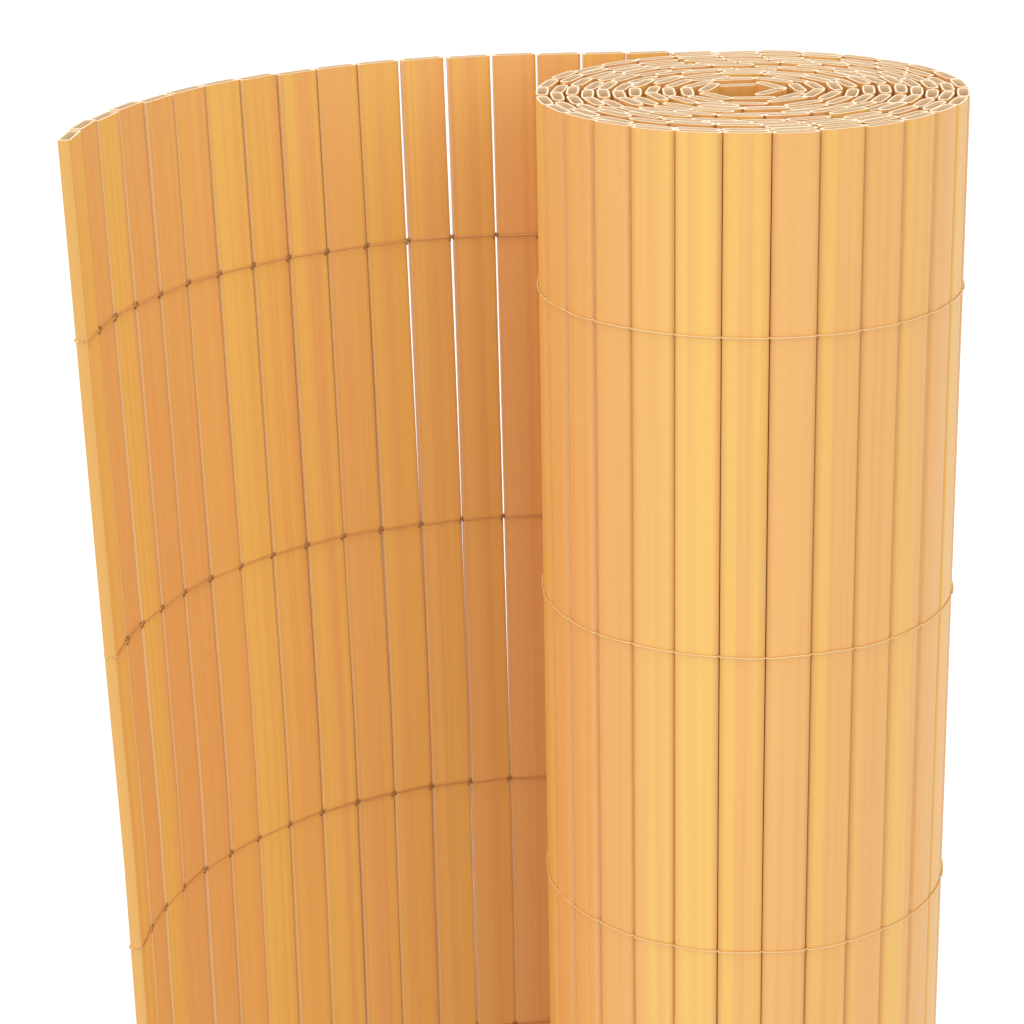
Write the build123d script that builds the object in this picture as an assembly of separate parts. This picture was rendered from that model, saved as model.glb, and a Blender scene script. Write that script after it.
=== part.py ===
"""Privacy screen: a mat of hollow plastic slats bound by rows of thread, stood on end, half unrolled.

All sizes are in millimetres and Z is up. The roll stands at the right and the unrolled panel
leaves it at the back, bends towards the viewer and ends at the left.
"""

import os
from math import asin, cos, hypot, pi, radians, sin

from build123d import *

# Slats: hollow extruded strips, all alike and as long as the screen is high.
screen_height = 900.0
slat_width = 13.55
slat_thickness = 3.8
face_wall = 0.5
edge_wall = 0.9
edge_bevel = 0.8

# Mat: the gap that the threads leave between two slats, where it hangs free and where it is wound up.
free_gap = 0.55
wound_gap = 0.05

# Unrolled panel: a straight run off the back of the roll, then an even bend.
run_slats = 5
bend_slats = 14
run_slope = 3.0
bend_radius = 126.5

# Roll: the outer radius where the panel leaves it, the hollow middle and the slack between turns.
roll_radius = 66.9
core_radius = 9.0
turn_play = 0.3
leaving_angle = 3.0
groove_depth = 1.6

# Binding threads: rows of an outer and an inner strand, evenly spaced between two end margins.
# Both leave out the nip, where the panel and the roll close on each other.
thread_rows = 9
thread_margin = 59.0
thread_size = 0.6
nip_angle = 20.0
nip_slats = 2

half_width = slat_width / 2
half_thick = slat_thickness / 2
free_pitch = slat_width + free_gap
wound_pitch = slat_width + wound_gap
panel_slats = run_slats + bend_slats


def wound_line():
    """Plan points of the gaps in the roll, from the back of the roll inwards, with their angles."""
    points = []
    angles = []
    angle = radians(leaving_angle)
    radius = roll_radius - half_thick
    while radius > core_radius:
        points.append((radius * sin(angle), radius * cos(angle)))
        angles.append(angle)
        step = 2 * asin(wound_pitch / (2 * radius))
        corner_rise = wound_pitch**2 / (8 * radius)
        turn_pitch = slat_thickness + turn_play + corner_rise
        radius -= turn_pitch * step / (2 * pi)
        angle += step
    return points, angles


def panel_line(start):
    """Plan points of the gaps in the panel, from the roll to the free end, the starting point left out."""
    points = []
    x, y = start
    heading = radians(180 + run_slope)
    turn = 2 * asin(free_pitch / (2 * bend_radius))
    for index in range(panel_slats):
        if index == run_slats:
            heading += turn / 2
        if index > run_slats:
            heading += turn
        x += free_pitch * cos(heading)
        y += free_pitch * sin(heading)
        points.append((x, y))
    return points


def offset_line(line, distance):
    """The same line moved to its left by a distance, with mitred corners."""
    normals = []
    for (ax, ay), (bx, by) in zip(line, line[1:]):
        length = hypot(bx - ax, by - ay)
        normals.append(((ay - by) / length, (bx - ax) / length))
    moved = []
    for index, (x, y) in enumerate(line):
        nx, ny = normals[max(index - 1, 0)]
        mx, my = normals[min(index, len(normals) - 1)]
        scale = distance / (1 + nx * mx + ny * my)
        moved.append((x + (nx + mx) * scale, y + (ny + my) * scale))
    return moved


def slat_point(line, index, along, out):
    """A plan point of one slat, from its middle along the mat and out from it."""
    (ax, ay), (bx, by) = line[index], line[index + 1]
    length = hypot(bx - ax, by - ay)
    tx, ty = (bx - ax) / length, (by - ay) / length
    return ((ax + bx) / 2 + tx * along - ty * out, (ay + by) / 2 + ty * along + tx * out)


def upright(outline, holes=()):
    """A face of plan points less its holes, drawn up to the height of the screen."""
    face = make_face(Polyline(*outline, close=True))
    face -= [make_face(Polyline(*hole, close=True)) for hole in holes]
    return extrude(face, amount=screen_height, dir=(0, 0, 1))


def cavity(line, index):
    """The hollow of one slat."""
    along = half_width - edge_wall
    out = half_thick - face_wall
    corners = [(-along, -out), (along, -out), (along, out), (-along, out)]
    return [slat_point(line, index, u, v) for u, v in corners]


def panel_slat(line, index):
    """One slat of the panel, with its four long edges bevelled."""
    u = half_width
    v = half_thick
    b = edge_bevel
    corners = [(-u, -v + b), (-u + b, -v), (u - b, -v), (u, -v + b)]
    corners += [(u, v - b), (u - b, v), (-u + b, v), (-u, v - b)]
    return upright([slat_point(line, index, *corner) for corner in corners], [cavity(line, index)])


def rolled_turns(line, grooved):
    """All turns of the roll as one wall, with a groove outside between the slats of its first turn."""
    last = len(line) - 2
    floor = offset_line(line, half_thick - groove_depth)
    outer = offset_line(line, half_thick)
    inner = offset_line(line, -half_thick)
    outline = [slat_point(line, 0, -half_width, half_thick)]
    for index in range(1, grooved + 1):
        outline.append(slat_point(line, index - 1, half_width - edge_bevel, half_thick))
        outline.append(slat_point(line, index - 1, half_width, half_thick - edge_bevel))
        outline.append(floor[index])
        outline.append(slat_point(line, index, -half_width, half_thick - edge_bevel))
        outline.append(slat_point(line, index, -half_width + edge_bevel, half_thick))
    outline += outer[grooved + 1:-1]
    outline.append(slat_point(line, last, half_width, half_thick))
    outline.append(slat_point(line, last, half_width, -half_thick))
    outline += reversed(inner[1:-1])
    outline.append(slat_point(line, 0, -half_width, -half_thick))
    return upright(outline, [cavity(line, index) for index in range(last + 1)])


def strand(line, near, far, height):
    """A thread along one face of the mat, at a height."""
    outline = offset_line(line, near) + offset_line(line, far)[::-1]
    face = make_face(Polyline(*outline, close=True))
    return Pos(0, 0, height) * extrude(face, amount=thread_size / 2, dir=(0, 0, 1), both=True)


# The line of the whole mat runs from the free end of the panel to the middle of the roll.
wound, angles = wound_line()
panel = panel_line(wound[0])
mat = panel[::-1] + wound
first_turn = len([angle for angle in angles if angle < 2 * pi - radians(nip_angle)]) - 1

nodes = {"rolled_turns": rolled_turns(wound, first_turn)}
for index in range(panel_slats):
    nodes[f"panel_slat_{index + 1:02d}"] = panel_slat(mat, index)

row_pitch = (screen_height - 2 * thread_margin) / (thread_rows - 1)
outer_line = mat[:panel_slats + first_turn + 1]
inner_line = mat[:panel_slats - nip_slats + 1]
for row in range(thread_rows):
    height = screen_height - thread_margin - row * row_pitch
    nodes[f"outer_thread_{row + 1}"] = strand(outer_line, half_thick, half_thick + thread_size, height)
    nodes[f"inner_thread_{row + 1}"] = strand(inner_line, -half_thick, -half_thick - thread_size, height)

# The origin is under the middle of the whole screen, on the floor.
middle = Compound(list(nodes.values())).bounding_box().center()
os.makedirs("parts", exist_ok=True)
for name, shape in nodes.items():
    export_step(Pos(-middle.X, -middle.Y, 0) * shape, f"parts/{name}.step")
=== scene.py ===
import random
from math import asin, atan2, cos, pi, radians, sin

import bmesh
import bpy
from mathutils import Matrix, Vector


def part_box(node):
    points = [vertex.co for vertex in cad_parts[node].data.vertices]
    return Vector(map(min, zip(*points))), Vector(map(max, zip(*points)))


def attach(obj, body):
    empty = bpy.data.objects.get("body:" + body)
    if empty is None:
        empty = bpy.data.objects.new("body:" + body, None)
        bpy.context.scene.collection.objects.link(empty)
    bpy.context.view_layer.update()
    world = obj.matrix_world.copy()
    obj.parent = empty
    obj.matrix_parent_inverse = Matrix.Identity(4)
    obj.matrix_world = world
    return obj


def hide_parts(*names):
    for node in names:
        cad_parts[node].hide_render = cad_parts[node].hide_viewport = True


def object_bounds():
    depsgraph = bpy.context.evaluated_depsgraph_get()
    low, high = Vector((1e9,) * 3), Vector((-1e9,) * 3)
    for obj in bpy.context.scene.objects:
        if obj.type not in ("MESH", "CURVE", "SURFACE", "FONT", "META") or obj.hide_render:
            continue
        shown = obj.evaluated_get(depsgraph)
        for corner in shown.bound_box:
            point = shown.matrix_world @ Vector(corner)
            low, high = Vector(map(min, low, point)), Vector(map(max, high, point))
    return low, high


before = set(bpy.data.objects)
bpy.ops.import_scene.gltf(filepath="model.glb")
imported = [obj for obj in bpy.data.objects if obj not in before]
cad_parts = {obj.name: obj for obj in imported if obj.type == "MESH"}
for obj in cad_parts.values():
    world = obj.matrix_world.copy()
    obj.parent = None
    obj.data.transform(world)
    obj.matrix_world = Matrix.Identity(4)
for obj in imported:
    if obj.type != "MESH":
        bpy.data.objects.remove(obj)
cad_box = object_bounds()


# The line of the mat.
# The slats are bound side by side into one long mat. Its line in plan runs from the free end of
# the panel, round the bend and on to the back of the roll, then inwards turn by turn to the middle.
slat_width = 0.01355
slat_thickness = 0.0038
slat_height = cad_box[1].z
free_gap = 0.00055
wound_gap = 0.00005
free_pitch = slat_width + free_gap
wound_pitch = slat_width + wound_gap
run_slats = 5
bend_slats = 14
run_slope = radians(3)
bend_radius = 0.1265
roll_radius = 0.0669
core_radius = 0.009
turn_play = 0.0003
leaving_angle = radians(3)


def wound_line():
    """Plan points of the gaps in the roll, from its back inwards."""
    points = []
    angle = leaving_angle
    radius = roll_radius - slat_thickness / 2
    while radius > core_radius:
        points.append((radius * sin(angle), radius * cos(angle)))
        step = 2 * asin(wound_pitch / (2 * radius))
        turn_pitch = slat_thickness + turn_play + wound_pitch**2 / (8 * radius)
        radius -= turn_pitch * step / (2 * pi)
        angle += step
    return points


def panel_line(start):
    """Plan points of the gaps in the panel, from the roll to the free end."""
    points = []
    x, y = start
    heading = pi + run_slope
    turn = 2 * asin(free_pitch / (2 * bend_radius))
    for index in range(run_slats + bend_slats):
        if index == run_slats:
            heading += turn / 2
        if index > run_slats:
            heading += turn
        x += free_pitch * cos(heading)
        y += free_pitch * sin(heading)
        points.append((x, y))
    return points


wound = wound_line()
panel_slats = run_slats + bend_slats
mat = [Vector(point) for point in panel_line(wound[0])[::-1] + wound]
low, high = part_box("panel_slat_01")
shift = (low + high).xy / 2 - (mat[0] + mat[1]) / 2
mat = [point + shift for point in mat]
roll_axis = shift


# Panel slats.
# Hollow strips of extruded PVC, flat with rounded edges, cut to the height of the screen. In the
# panel they hang free: they bow and lean a little, and slack threads let them spread at the top.
panel_width = slat_width + 0.0002
face_wall = 0.0005
edge_wall = 0.0009
free_squareness = 12.0
wound_squareness = 4.0
panel_bow = (0.0005, 0.0012, 0.0)
bow_length = 0.13
bow_step = 5.7
first_lean = radians(1.0)
lean_growth = radians(7.0)
lean_sway = radians(1.2)
flare_length = 0.22
tight_slack = 0.0001
some_slack = 0.0003
full_slack = 0.0008
some_slack_gaps = (13, 14)
full_slack_gaps = (10, 11, 12)
plastic_gold = "F6C668"
plastic_yellow = "F3BE63"
plastic_peach = "F1B76B"
plastic_tan = "EFB46A"
streak_pink = "EFAE6A"
streak_brown = "E2A352"
# The next colour is painted shade: a darker amber along the slats' rounded edges beside the gaps and
# grooves.
groove_shade_amber = "C98A40"
# The next colour is painted light: a pale glow on the slats' edge walls, where light comes through the
# gaps.
gap_glow_pale = "F8D4A0"
bare_cream = "FDEDD4"
bare_tan = "F5DCB5"
hollow_amber = "F9DFB9"
saw_grit = 0.0012
streak_width = 0.0042
streak_length = 0.5
streak_step = 7.3
hair_width = 0.0005


def linear(code):
    """A colour of six hex digits as linear red, green, blue and alpha."""
    parts = [int(code[i:i + 2], 16) / 255 for i in (0, 2, 4)]
    return (*[c / 12.92 if c <= 0.04045 else ((c + 0.055) / 1.055) ** 2.4 for c in parts], 1.0)


def put(tree, kind, inputs=None, **settings):
    """Add a node with its settings, and fill or link its inputs."""
    node = tree.nodes.new(kind)
    for name, value in settings.items():
        setattr(node, name, value)
    for key, value in (inputs or {}).items():
        for item in value if isinstance(value, list) else [value]:
            if isinstance(item, bpy.types.NodeSocket):
                tree.links.new(item, node.inputs[key])
            else:
                node.inputs[key].default_value = item
    return node


def new_material(name):
    """A node material with a Principled shader, and its tree and shader."""
    material = bpy.data.materials.new(name)
    material.use_nodes = True
    return material, material.node_tree, material.node_tree.nodes["Principled BSDF"]


def extruded_pvc():
    """PVC coloured in the melt: long streaks of two or three tones that the die drew out, satin."""
    material, tree, shader = new_material("Extruded PVC, streaked")
    across = put(tree, "ShaderNodeAttribute", attribute_name="across").outputs["Fac"]
    number = put(tree, "ShaderNodeAttribute", attribute_name="number").outputs["Fac"]
    place = put(tree, "ShaderNodeTexCoord").outputs["Object"]
    rise = put(tree, "ShaderNodeSeparateXYZ", {0: place}).outputs["Z"]
    slat = put(tree, "ShaderNodeAttribute", attribute_name="tone").outputs["Fac"]

    def streaks(width, length, offset):
        sideways = put(tree, "ShaderNodeMath", {0: across, 1: slat_width / 2 / width},
                       operation="MULTIPLY")
        upwards = put(tree, "ShaderNodeMath", {0: rise, 1: 1 / length}, operation="MULTIPLY")
        own = put(tree, "ShaderNodeMath", {0: number, 1: streak_step, 2: offset},
                  operation="MULTIPLY_ADD")
        point = put(tree, "ShaderNodeCombineXYZ",
                    {"X": sideways.outputs[0], "Y": own.outputs[0], "Z": upwards.outputs[0]})
        return put(tree, "ShaderNodeTexNoise",
                   {"Vector": point.outputs[0], "Scale": 1.0, "Detail": 1.0}).outputs["Fac"]

    broad = streaks(streak_width, streak_length, 0.0)
    narrow = streaks(streak_width / 3, streak_length, 41.0)
    hair = streaks(hair_width, streak_length, 83.0)
    tones = put(tree, "ShaderNodeValToRGB", {"Fac": slat})
    stops = tones.color_ramp.elements
    stops[0].color = linear(plastic_gold)
    stops[1].color = linear(plastic_tan)
    stops.new(0.4).color = linear(plastic_yellow)
    stops.new(0.75).color = linear(plastic_peach)

    def tinted(under, pattern, start, full, strength, colour):
        share = put(tree, "ShaderNodeMapRange",
                    {"Value": pattern, "From Min": start, "From Max": full, "To Max": strength})
        return put(tree, "ShaderNodeMix", {"Factor": share.outputs[0], "A": under, "B": linear(colour)},
                   data_type="RGBA").outputs["Result"]

    skin = tinted(tones.outputs["Color"], broad, 0.42, 0.68, 0.7, streak_pink)
    skin = tinted(skin, narrow, 0.5, 0.8, 0.35, streak_brown)
    edge = put(tree, "ShaderNodeMath", {0: across}, operation="ABSOLUTE").outputs[0]
    # Painted shade: every slat's rounded edges are tinted darker amber towards its gaps and grooves.
    skin = tinted(skin, edge, 0.78, 0.96, 0.32, groove_shade_amber)
    # Slats with a neighbour on both sides get painted light along their edge walls: a pale tint for the
    # light that glows through the gaps.
    joined = put(tree, "ShaderNodeMath", {0: number, 1: 0.5}, operation="GREATER_THAN").outputs[0]
    glow_edges = put(tree, "ShaderNodeMath", {0: edge, 1: joined}, operation="MULTIPLY").outputs[0]
    skin = tinted(skin, glow_edges, 0.97, 0.992, 0.75, gap_glow_pale)
    tree.links.new(skin, shader.inputs["Base Color"])
    gloss = put(tree, "ShaderNodeMapRange", {"Value": hair, "To Min": 0.36, "To Max": 0.5})
    tree.links.new(gloss.outputs[0], shader.inputs["Roughness"])
    lines = put(tree, "ShaderNodeBump", {"Height": hair, "Strength": 0.15, "Distance": 0.0001})
    tree.links.new(lines.outputs[0], shader.inputs["Normal"])
    shader.inputs["IOR"].default_value = 1.53
    return material


def bare_pvc():
    """The body of the plastic under its coloured skin, in the hollows and cut ends: pale and chalky."""
    material, tree, shader = new_material("Bare PVC, sawn")
    place = put(tree, "ShaderNodeTexCoord").outputs["Object"]
    grit = put(tree, "ShaderNodeTexNoise", {"Vector": place, "Scale": 1 / saw_grit, "Detail": 2.0})
    tint = put(tree, "ShaderNodeMapRange",
               {"Value": grit.outputs["Fac"], "From Min": 0.4, "From Max": 0.75})
    base = put(tree, "ShaderNodeMix", {"Factor": tint.outputs[0], "A": linear(bare_cream),
                                       "B": linear(bare_tan)}, data_type="RGBA").outputs["Result"]
    inside = put(tree, "ShaderNodeAttribute", attribute_name="inside").outputs["Fac"]
    base = put(tree, "ShaderNodeMix", {"Factor": inside, "A": base, "B": linear(hollow_amber)},
               data_type="RGBA")
    tree.links.new(base.outputs["Result"], shader.inputs["Base Color"])
    shader.inputs["Roughness"].default_value = 0.75
    shader.inputs["IOR"].default_value = 1.53
    return material


def new_rule(name, result, inputs):
    """A node tree with named inputs and one geometry output, and the sockets of its inputs."""
    tree = bpy.data.node_groups.new(name, "GeometryNodeTree")
    for socket, kind in inputs.items():
        tree.interface.new_socket(socket, in_out="INPUT", socket_type="NodeSocket" + kind)
    tree.interface.new_socket(result, in_out="OUTPUT", socket_type="NodeSocketGeometry")
    return tree, put(tree, "NodeGroupInput").outputs


def carried(tree, name):
    """A value that each point of the mat's line carries."""
    return put(tree, "GeometryNodeInputNamedAttribute", {"Name": name}).outputs["Attribute"]


def flared(tree, rise, given):
    """The sideways shift of the panel's slats, which grows from nothing to its full size at the top."""
    full = put(tree, "ShaderNodeCombineXYZ",
               {"X": carried(tree, "spread_x"), "Y": carried(tree, "spread_y")}).outputs[0]
    start = put(tree, "ShaderNodeMath", {0: given["Height"], 1: given["Flare length"]},
                operation="SUBTRACT").outputs[0]
    share = put(tree, "ShaderNodeMapRange",
                {"Value": rise, "From Min": start, "From Max": given["Height"]}).outputs[0]
    return put(tree, "ShaderNodeVectorMath", {0: full, "Scale": share}, operation="SCALE").outputs[0]


def slat_tree():
    """Slats on points: each a hollow superellipse drawn upright, turned to the mat and a little bowed."""
    tree, given = new_rule("Slats on the mat's line", "Slats", {
        "Points": "Geometry", "Width": "Float", "Thickness": "Float", "Face wall": "Float",
        "Edge wall": "Float", "Squareness": "Float", "Section points": "Int", "Height": "Float",
        "Levels": "Int", "Bow": "Vector", "Bow length": "Float", "Flare length": "Float",
        "End trim": "Float", "Seed": "Int", "Skin": "Material", "Bare plastic": "Material",
    })
    place = put(tree, "GeometryNodeInputPosition").outputs[0]
    power = put(tree, "ShaderNodeMath", {0: 2.0, 1: given["Squareness"]}, operation="DIVIDE").outputs[0]
    size = put(tree, "ShaderNodeVectorMath", {0: place}, operation="ABSOLUTE").outputs[0]
    size = put(tree, "ShaderNodeVectorMath", {0: size, 1: power}, operation="POWER").outputs[0]
    sign = put(tree, "ShaderNodeVectorMath", {0: place}, operation="SIGN").outputs[0]
    square = put(tree, "ShaderNodeVectorMath", {0: size, 1: sign}, operation="MULTIPLY").outputs[0]

    def outline(side_wall, end_wall):
        across = put(tree, "ShaderNodeMath", {0: end_wall, 1: -2.0, 2: given["Width"]},
                     operation="MULTIPLY_ADD")
        through = put(tree, "ShaderNodeMath", {0: side_wall, 1: -2.0, 2: given["Thickness"]},
                      operation="MULTIPLY_ADD")
        whole = put(tree, "ShaderNodeCombineXYZ", {"X": across.outputs[0], "Y": through.outputs[0]})
        half = put(tree, "ShaderNodeVectorMath", {0: whole.outputs[0], "Scale": 0.5}, operation="SCALE")
        point = put(tree, "ShaderNodeVectorMath", {0: square, 1: half.outputs[0]}, operation="MULTIPLY")
        circle = put(tree, "GeometryNodeCurvePrimitiveCircle",
                     {"Resolution": given["Section points"], "Radius": 1.0})
        return put(tree, "GeometryNodeSetPosition",
                   {"Geometry": circle.outputs["Curve"], "Position": point.outputs[0]}).outputs[0]

    top = put(tree, "ShaderNodeCombineXYZ", {"Z": given["Height"]}).outputs[0]
    stem = put(tree, "GeometryNodeCurvePrimitiveLine", {"End": top})
    stem = put(tree, "GeometryNodeResampleCurve",
               {"Curve": stem.outputs[0], "Count": given["Levels"]}).outputs[0]
    skin = outline(0.0, 0.0)
    hollow = outline(given["Face wall"], given["Edge wall"])
    walls = [put(tree, "GeometryNodeCurveToMesh", {"Curve": stem, "Profile Curve": curve}).outputs[0]
             for curve in (skin, hollow)]
    walls[1] = put(tree, "GeometryNodeStoreNamedAttribute",
                   {"Geometry": walls[1], "Name": "inside", "Value": 1.0}, domain="FACE").outputs[0]
    both = put(tree, "GeometryNodeJoinGeometry", {0: [skin, hollow]}).outputs[0]
    foot = put(tree, "GeometryNodeFillCurve", {"Curve": both}).outputs[0]
    head = put(tree, "GeometryNodeTransform", {"Geometry": foot, "Translation": top}).outputs[0]
    slat = put(tree, "GeometryNodeJoinGeometry", {0: [*walls, foot, head]}).outputs[0]
    slat = put(tree, "GeometryNodeMergeByDistance", {"Geometry": slat, "Distance": 0.000002}).outputs[0]
    sideways = put(tree, "ShaderNodeSeparateXYZ", {0: place}).outputs["X"]
    share = put(tree, "ShaderNodeMath", {0: sideways, 1: given["Width"]}, operation="DIVIDE").outputs[0]
    share = put(tree, "ShaderNodeMath", {0: share, 1: 2.0}, operation="MULTIPLY").outputs[0]
    slat = put(tree, "GeometryNodeStoreNamedAttribute",
               {"Geometry": slat, "Name": "across", "Value": share}).outputs[0]
    turn = carried(tree, "turn")
    number = carried(tree, "number")
    facing = put(tree, "FunctionNodeAxisAngleToRotation",
                 {"Axis": (0.0, 0.0, 1.0), "Angle": turn}).outputs[0]
    row = put(tree, "GeometryNodeInstanceOnPoints",
              {"Points": given["Points"], "Instance": slat, "Rotation": facing}).outputs[0]
    row = put(tree, "GeometryNodeRealizeInstances", {"Geometry": row}).outputs[0]
    rise = put(tree, "ShaderNodeSeparateXYZ", {0: place}).outputs["Z"]
    along = put(tree, "ShaderNodeMath", {0: rise, 1: given["Bow length"]}, operation="DIVIDE").outputs[0]
    own = put(tree, "ShaderNodeMath", {0: number, 1: bow_step}, operation="MULTIPLY").outputs[0]
    sample = put(tree, "ShaderNodeCombineXYZ", {"X": own, "Y": along, "Z": given["Seed"]}).outputs[0]
    wave = put(tree, "ShaderNodeTexNoise",
               {"Vector": sample, "Scale": 1.0, "Detail": 0.0}).outputs["Color"]
    wave = put(tree, "ShaderNodeVectorMath", {0: wave, 1: (0.5, 0.5, 0.5)},
               operation="SUBTRACT").outputs[0]
    wave = put(tree, "ShaderNodeVectorMath", {0: wave, 1: given["Bow"]}, operation="MULTIPLY").outputs[0]
    wave = put(tree, "ShaderNodeVectorRotate", {"Vector": wave, "Angle": turn},
               rotation_type="Z_AXIS").outputs[0]
    wave = put(tree, "ShaderNodeVectorMath", {0: wave, 1: flared(tree, rise, given)},
               operation="ADD").outputs[0]
    row = put(tree, "GeometryNodeSetPosition", {"Geometry": row, "Offset": wave}).outputs[0]
    spare = put(tree, "FunctionNodeRandomValue", {"ID": number, "Seed": given["Seed"]}).outputs[1]
    share = put(tree, "ShaderNodeMath", {0: rise, 1: given["Height"]}, operation="DIVIDE").outputs[0]
    cut = put(tree, "ShaderNodeMath", {0: spare, 1: given["End trim"]}, operation="MULTIPLY").outputs[0]
    cut = put(tree, "ShaderNodeMath", {0: cut, 1: share}, operation="MULTIPLY").outputs[0]
    drop = put(tree, "ShaderNodeMath", {0: cut, 1: -1.0}, operation="MULTIPLY").outputs[0]
    drop = put(tree, "ShaderNodeCombineXYZ", {"Z": drop}).outputs[0]
    row = put(tree, "GeometryNodeSetPosition", {"Geometry": row, "Offset": drop}).outputs[0]
    row = put(tree, "GeometryNodeSetMaterial", {"Geometry": row, "Material": given["Skin"]}).outputs[0]
    upright = put(tree, "GeometryNodeInputNormal").outputs["True Normal"]
    upright = put(tree, "ShaderNodeSeparateXYZ", {0: upright}).outputs["Z"]
    level = put(tree, "ShaderNodeMath", {0: upright}, operation="ABSOLUTE").outputs[0]
    bare = put(tree, "ShaderNodeMath", {0: level, 1: carried(tree, "inside")},
               operation="MAXIMUM").outputs[0]
    bare = put(tree, "FunctionNodeCompare", {"A": bare, "B": 0.9}, operation="GREATER_THAN").outputs[0]
    row = put(tree, "GeometryNodeSetMaterial",
              {"Geometry": row, "Selection": bare, "Material": given["Bare plastic"]}).outputs[0]
    put(tree, "NodeGroupOutput", {0: row})
    return tree


def grown(name, points, attributes, tree, inputs, edges=(), crease=radians(38)):
    """A plain mesh object grown by a node tree on points that carry attributes."""
    seed = bpy.data.meshes.new(name + "_points")
    seed.from_pydata([(*point, 0.0) for point in points], edges, [])
    for key, values in attributes.items():
        seed.attributes.new(key, "FLOAT", "POINT").data.foreach_set("value", values)
    piece = bpy.data.objects.new(name, seed)
    bpy.context.scene.collection.objects.link(piece)
    modifier = piece.modifiers.new(name, "NODES")
    modifier.node_group = tree
    for socket in tree.interface.items_tree:
        if socket.in_out == "INPUT" and socket.name in inputs:
            modifier[socket.identifier] = inputs[socket.name]
    mesh = bpy.data.meshes.new_from_object(piece.evaluated_get(bpy.context.evaluated_depsgraph_get()))
    piece.modifiers.clear()
    piece.data = mesh
    mesh.name = name
    shell = bmesh.new()
    shell.from_mesh(mesh)
    bmesh.ops.recalc_face_normals(shell, faces=shell.faces)
    shell.to_mesh(mesh)
    shell.free()
    mesh.shade_smooth()
    mesh.set_sharp_from_angle(angle=crease)
    return piece


def slat_place(number):
    """The middle of a slat, and its directions along the mat and out of it, with its lean."""
    start, end = mat[number], mat[number + 1]
    along = Matrix.Rotation(lean[number], 2) @ (end - start).normalized()
    return (start + end) / 2, along, Vector((-along.y, along.x))


def spreads(numbers):
    """How far the slats of these numbers stand from their line at the top of the mat, as attributes."""
    return {f"spread_{axis}": [spread[i][k] for i in numbers] for k, axis in enumerate("xy")}


def slats(name, numbers, tree, **inputs):
    """The slats of these numbers along the mat's line."""
    places = [slat_place(i) for i in numbers]
    turns = [atan2(along.y, along.x) for middle, along, out in places]
    middles = [middle for middle, along, out in places]
    attributes = {"turn": turns, "number": [float(i) for i in numbers],
                  "tone": [tone[i] for i in numbers], **spreads(numbers)}
    return grown(name, middles, attributes, tree, inputs)


all_slats = len(mat) - 1
spread = [Vector((0.0, 0.0)) for i in range(all_slats)]
for i in reversed(range(panel_slats - 1)):
    slack = full_slack if i in full_slack_gaps else some_slack if i in some_slack_gaps else tight_slack
    spread[i] = spread[i + 1] + (mat[i] - mat[i + 2]).normalized() * slack
batch = random.Random(25642)
tone = [batch.random() for i in range(all_slats)]
sway = random.Random(3)
lean = [sway.uniform(-lean_sway, lean_sway) for i in range(all_slats)]
for i in range(panel_slats):
    lean[i] += first_lean + lean_growth * i / panel_slats
slat_rule = slat_tree()
flare = {"Height": slat_height, "Flare length": flare_length}
slat_sizes = {
    "Thickness": slat_thickness, "Face wall": face_wall, "Edge wall": edge_wall,
    "Bow length": bow_length, "Seed": 4, "Skin": extruded_pvc(), "Bare plastic": bare_pvc(), **flare,
}
fine = {"Section points": 24, "Levels": 37, "End trim": 0.0006}
coarse = {"Section points": 14, "Levels": 2, "End trim": 0.001}
panel = slats("panel_slats", range(panel_slats), slat_rule, Width=panel_width,
              Squareness=free_squareness, Bow=panel_bow, **slat_sizes, **fine)
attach(panel, "root")
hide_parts(*[f"panel_slat_{i + 1:02d}" for i in range(panel_slats)])


# Rolled slats.
# The same slats, wound up tight. The first turn shows its outer faces and the narrow grooves
# between them. The turns inside it show only their hollow cut ends.
first_turn = 30
outside_width = slat_width - 0.00015
outside_bow = (0.0002, 0.0003, 0.0)
inside_bow = (0.0, 0.0, 0.0)
outside = slats("rolled_slats_outside", range(panel_slats, panel_slats + first_turn), slat_rule,
                Width=outside_width, Squareness=wound_squareness, Bow=outside_bow, **slat_sizes, **fine)
inside = slats("rolled_slats_inside", range(panel_slats + first_turn, all_slats), slat_rule,
               Width=slat_width, Squareness=wound_squareness, Bow=inside_bow, **slat_sizes, **coarse)
for piece in (outside, inside):
    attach(piece, "root")
    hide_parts("rolled_turns")


# Binding threads.
# Each row is two nylon strands, sewn like a lock stitch: one runs over the outer faces and one over
# the inner faces, and in every gap of the panel the strands are drawn together in a small knot.
thread_rows = 9
end_rows = [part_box("outer_thread_1"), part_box(f"outer_thread_{thread_rows}")]
row_heights = [(low.z + high.z) / 2 for low, high in end_rows]
row_pitch = (row_heights[0] - row_heights[1]) / (thread_rows - 1)
sewn_slats = 27
thread_thickness = 0.0006
thread_wander = 0.0012
wander_length = 0.02
wound_dip = 0.0009
free_dip = 0.0005
strand_steps = (-0.97, -0.9, -0.7, 0.0, 0.7, 0.9, 0.97)
knot_radius = 0.00055
knot_length = 0.0028
knot_rounds = 2.0
knot_slant = radians(65)
outer_clear = "EBC182"
# The inner strand is the same clear nylon as the outer one, painted a darker amber: painted shade for its
# place on the shaded inner faces.
shaded_thread_amber = "D69E61"
# The knots are painted a darker brown: painted shade where they sit in the panel's gaps.
shaded_knot_brown = "A9783F"


def nylon(name, colour):
    """Drawn nylon: smooth and glossy, and close in colour to the slats behind it."""
    material, tree, shader = new_material(name)
    shader.inputs["Base Color"].default_value = linear(colour)
    shader.inputs["Roughness"].default_value = 0.25
    shader.inputs["IOR"].default_value = 1.53
    return material


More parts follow.
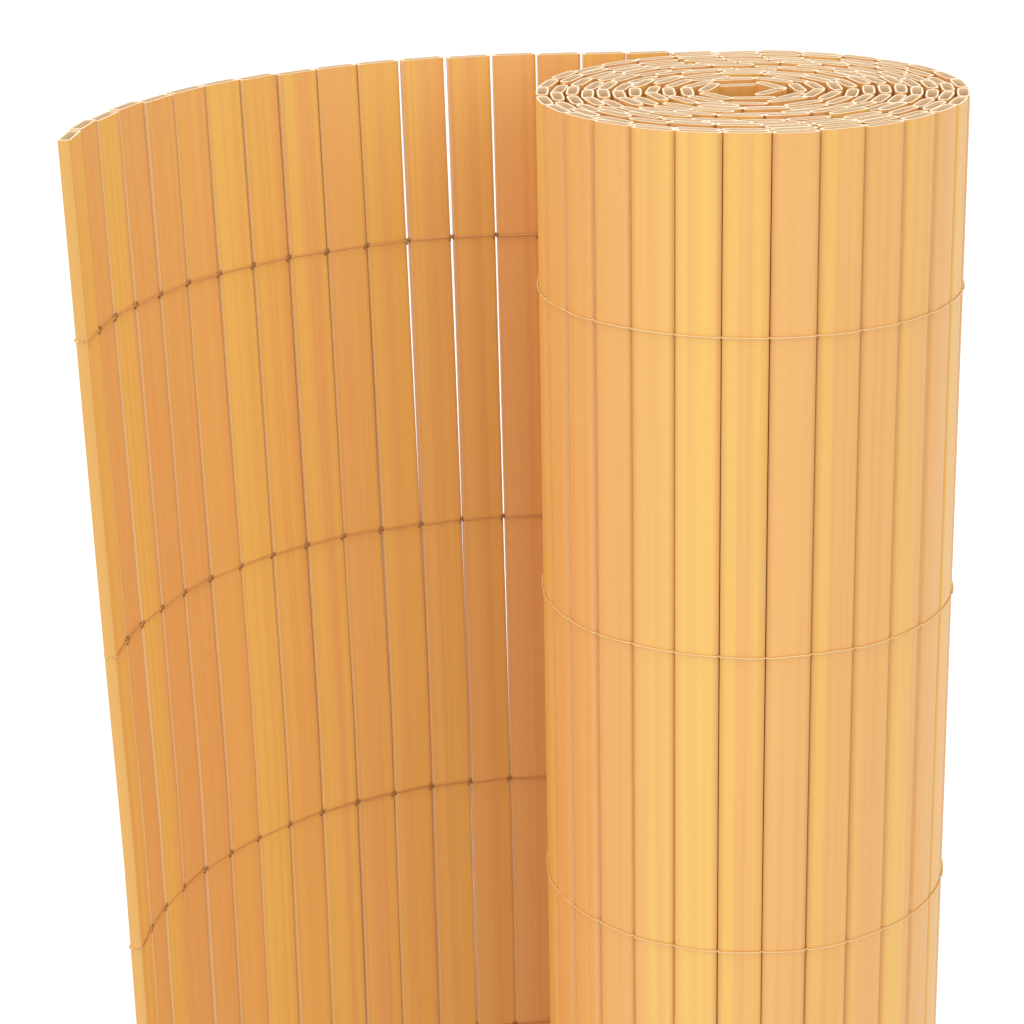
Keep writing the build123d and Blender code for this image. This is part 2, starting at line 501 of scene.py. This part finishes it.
def thread_tree():
    """Rows of a strand along a path, with a coiled knot on each loose point that is marked for one."""
    tree, given = new_rule("Rows of sewn thread", "Sewn rows", {
        "Path": "Geometry", "Thickness": "Float", "Sides": "Int", "Knot radius": "Float",
        "Knot length": "Float", "Knot rounds": "Float", "Rows": "Int", "First height": "Float",
        "Row pitch": "Float", "Wander": "Float", "Wander length": "Float", "Height": "Float",
        "Flare length": "Float", "Thread": "Material", "Knot": "Material",
    })
    half = put(tree, "ShaderNodeMath", {0: given["Thickness"], 1: 2.0}, operation="DIVIDE").outputs[0]
    round_section = put(tree, "GeometryNodeCurvePrimitiveCircle",
                        {"Resolution": given["Sides"], "Radius": half}).outputs["Curve"]
    strand = put(tree, "GeometryNodeMeshToCurve", {"Mesh": given["Path"]}).outputs[0]
    strand = put(tree, "GeometryNodeCurveSplineType", {"Curve": strand},
                 spline_type="CATMULL_ROM").outputs[0]
    strand = put(tree, "GeometryNodeSetSplineResolution",
                 {"Geometry": strand, "Resolution": 2}).outputs[0]
    strand = put(tree, "GeometryNodeCurveToMesh",
                 {"Curve": strand, "Profile Curve": round_section, "Fill Caps": True}).outputs[0]
    coil = put(tree, "GeometryNodeCurveSpiral",
               {"Resolution": 7, "Rotations": given["Knot rounds"], "Start Radius": given["Knot radius"],
                "End Radius": given["Knot radius"], "Height": given["Knot length"]}).outputs[0]
    back = put(tree, "ShaderNodeMath", {0: given["Knot length"], 1: -0.5},
               operation="MULTIPLY").outputs[0]
    back = put(tree, "ShaderNodeCombineXYZ", {"Z": back}).outputs[0]
    coil = put(tree, "GeometryNodeTransform", {"Geometry": coil, "Translation": back}).outputs[0]
    coil = put(tree, "GeometryNodeTransform",
               {"Geometry": coil, "Rotation": (0.0, knot_slant, 0.0)}).outputs[0]
    coil = put(tree, "GeometryNodeCurveToMesh",
               {"Curve": coil, "Profile Curve": round_section, "Fill Caps": True}).outputs[0]
    knot = carried(tree, "knot")
    facing = put(tree, "FunctionNodeAxisAngleToRotation",
                 {"Axis": (0.0, 0.0, 1.0), "Angle": carried(tree, "turn")}).outputs[0]
    knots = put(tree, "GeometryNodeInstanceOnPoints",
                {"Points": given["Path"], "Selection": knot, "Instance": coil,
                 "Rotation": facing}).outputs[0]
    knots = put(tree, "GeometryNodeRealizeInstances", {"Geometry": knots}).outputs[0]
    row = put(tree, "GeometryNodeJoinGeometry", {0: [strand, knots]}).outputs[0]
    first = put(tree, "ShaderNodeCombineXYZ", {"Z": given["First height"]}).outputs[0]
    down = put(tree, "ShaderNodeMath", {0: given["Row pitch"], 1: -1.0}, operation="MULTIPLY").outputs[0]
    down = put(tree, "ShaderNodeCombineXYZ", {"Z": down}).outputs[0]
    ladder = put(tree, "GeometryNodeMeshLine",
                 {"Count": given["Rows"], "Start Location": first, "Offset": down}).outputs[0]
    rows = put(tree, "GeometryNodeInstanceOnPoints", {"Points": ladder, "Instance": row}).outputs[0]
    rows = put(tree, "GeometryNodeRealizeInstances", {"Geometry": rows}).outputs[0]
    place = put(tree, "GeometryNodeInputPosition").outputs[0]
    often = put(tree, "ShaderNodeMath", {0: 1.0, 1: given["Wander length"]},
                operation="DIVIDE").outputs[0]
    wave = put(tree, "ShaderNodeTexNoise",
               {"Vector": place, "Scale": often, "Detail": 1.0}).outputs["Fac"]
    wave = put(tree, "ShaderNodeMath", {0: wave, 1: 0.5}, operation="SUBTRACT").outputs[0]
    wave = put(tree, "ShaderNodeMath", {0: wave, 1: given["Wander"]}, operation="MULTIPLY").outputs[0]
    wave = put(tree, "ShaderNodeCombineXYZ", {"Z": wave}).outputs[0]
    rise = put(tree, "ShaderNodeSeparateXYZ", {0: place}).outputs["Z"]
    wave = put(tree, "ShaderNodeVectorMath", {0: wave, 1: flared(tree, rise, given)},
               operation="ADD").outputs[0]
    rows = put(tree, "GeometryNodeSetPosition", {"Geometry": rows, "Offset": wave}).outputs[0]
    rows = put(tree, "GeometryNodeSetMaterial",
               {"Geometry": rows, "Material": given["Thread"]}).outputs[0]
    rows = put(tree, "GeometryNodeSetMaterial",
               {"Geometry": rows, "Selection": knot, "Material": given["Knot"]}).outputs[0]
    put(tree, "NodeGroupOutput", {0: rows})
    return tree


def strand_path(numbers, side):
    """Plan points of a strand on one side of these slats: one in the gap before a slat, then its steps."""
    points = []
    for i in numbers:
        middle, along, out = slat_place(i)
        dip = free_dip if i <= panel_slats else wound_dip
        square = free_squareness if i < panel_slats else wound_squareness
        points.append(mat[i] + out * side * dip)
        for share in strand_steps:
            rise = slat_thickness / 2 * (1 - abs(share) ** square) ** (1 / square)
            lift = side * (rise + thread_thickness / 2)
            points.append(middle + along * (share * slat_width / 2) + out * lift)
    return points


def threads(name, path, knots, **inputs):
    """Rows of thread along a path, with knots at these gaps of the mat."""
    points = list(path)
    turns = [0.0] * len(path)
    for i in knots:
        along = (mat[i + 1] - mat[i - 1]).normalized()
        inward = Vector((along.y, -along.x))
        points.append(mat[i] + inward * slat_thickness / 2)
        turns.append(atan2(along.y, along.x))
    marks = [0.0] * len(path) + [1.0] * len(knots)
    edges = [(i, i + 1) for i in range(len(path) - 1)]
    numbers = [i // (len(strand_steps) + 1) for i in range(len(path))] + list(knots)
    attributes = {"turn": turns, "knot": marks} | spreads(numbers)
    return grown(name, points, attributes, thread_rule, inputs, edges, crease=radians(100))


thread_rule = thread_tree()
thread_sizes = {
    "Thickness": thread_thickness, "Sides": 6, "Knot radius": knot_radius, "Knot length": knot_length,
    "Knot rounds": knot_rounds, "Rows": thread_rows, "First height": row_heights[0],
    "Row pitch": row_pitch, "Wander": thread_wander, "Wander length": wander_length,
    "Knot": nylon("Nylon thread, knotted, painted shade", shaded_knot_brown), **flare,
}
outer = threads("outer_threads", strand_path(range(panel_slats + sewn_slats), 1), (),
                Thread=nylon("Nylon thread, clear", outer_clear), **thread_sizes)
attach(outer, "root")
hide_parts(*[f"outer_thread_{i + 1}" for i in range(thread_rows)])
# The amber of the inner strand and the brown of its knots are painted shade.
inner = threads("inner_threads", strand_path(range(panel_slats - 1), -1), range(1, panel_slats - 1),
                Thread=nylon("Nylon thread, amber, painted shade", shaded_thread_amber), **thread_sizes)
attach(inner, "root")
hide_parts(*[f"inner_thread_{i + 1}" for i in range(thread_rows)])


# Floor, light and camera.
# A plain white sweep in a soft white room, with a large soft box at each side of the camera and one
# above. The sweep keeps the shadow near the screen and fades to white further away.
paper_white = "F0F0F0"
floor_reach = 12.0
shadow_reach = 0.2
white_reach = 2.2
far_glow = 0.5
room_light = 0.7
box_size = 1.6
box_aim = (0.0, 0.0, 0.6)
camera_pitch = radians(19.44)
camera_yaw = radians(5.15)
camera_roll = radians(-1.16)
camera_back = 0.8105
camera_above = 0.1526
focal_pixels = 2725.6
image_pixels = 1024

floor_mesh = bpy.data.meshes.new("floor")
corners = [(x * floor_reach, y * floor_reach, 0.0) for x, y in ((-1, -1), (1, -1), (1, 1), (-1, 1))]
floor_mesh.from_pydata(corners, [], [(0, 1, 2, 3)])
floor = bpy.data.objects.new("floor", floor_mesh)
bpy.context.scene.collection.objects.link(floor)
paper, tree, shader = new_material("White paper sweep")
shader.inputs["Base Color"].default_value = linear(paper_white)
shader.inputs["Roughness"].default_value = 0.9
path = put(tree, "ShaderNodeLightPath")
seen = put(tree, "ShaderNodeMath", {0: path.outputs["Is Camera Ray"], 1: path.outputs["Is Glossy Ray"]},
           operation="MAXIMUM")
seen = put(tree, "ShaderNodeMath", {0: seen.outputs[0], 1: path.outputs["Is Transmission Ray"]},
           operation="MAXIMUM")
place = put(tree, "ShaderNodeTexCoord").outputs["Object"]
away = put(tree, "ShaderNodeVectorMath", {0: place}, operation="LENGTH").outputs["Value"]
fill = put(tree, "ShaderNodeMapRange", {"Value": away, "From Min": shadow_reach, "From Max": white_reach,
                                        "To Max": far_glow}).outputs[0]
glow = put(tree, "ShaderNodeMath", {0: seen.outputs[0], 1: fill}, operation="MULTIPLY")
shader.inputs["Emission Color"].default_value = (1.0, 1.0, 1.0, 1.0)
tree.links.new(glow.outputs[0], shader.inputs["Emission Strength"])
floor_mesh.materials.append(paper)

world = bpy.data.worlds.new("Soft white room")
world.use_nodes = True
bpy.context.scene.world = world
tree = world.node_tree
path = put(tree, "ShaderNodeLightPath")
room = put(tree, "ShaderNodeBackground", {"Color": (1.0, 1.0, 1.0, 1.0), "Strength": room_light})
white = put(tree, "ShaderNodeBackground", {"Color": (1.0, 1.0, 1.0, 1.0), "Strength": 1.0})
mixed = put(tree, "ShaderNodeMixShader",
            {0: path.outputs["Is Camera Ray"], 1: room.outputs[0], 2: white.outputs[0]})
tree.links.new(mixed.outputs[0], tree.nodes["World Output"].inputs["Surface"])


def lamp(name, place, power):
    """A square soft box that faces the upper half of the screen."""
    light = bpy.data.lights.new(name, "AREA")
    light.size = box_size
    light.energy = power
    box = bpy.data.objects.new(name, light)
    box.location = place
    box.rotation_euler = (Vector(box_aim) - Vector(place)).to_track_quat("-Z", "Y").to_euler()
    bpy.context.scene.collection.objects.link(box)


lamp("left soft box", (-2.0, -1.4, 1.7), 14.0)
lamp("right soft box", (1.6, -1.9, 1.8), 12.0)
lamp("top soft box", (0.0, -0.2, 3.2), 29.0)

lens = bpy.data.cameras.new("camera")
lens.sensor_width = 36.0
lens.lens = lens.sensor_width * focal_pixels / image_pixels
lens.clip_start = 0.01
camera = bpy.data.objects.new("camera", lens)
camera.matrix_world = (
    Matrix.Translation((roll_axis.x, roll_axis.y - camera_back, slat_height + camera_above))
    @ Matrix.Rotation(camera_yaw, 4, "Z")
    @ Matrix.Rotation(pi / 2 - camera_pitch, 4, "X")
    @ Matrix.Rotation(camera_roll, 4, "Z")
)
bpy.context.scene.collection.objects.link(camera)
bpy.context.scene.camera = camera
bpy.context.scene.view_settings.view_transform = "Standard"
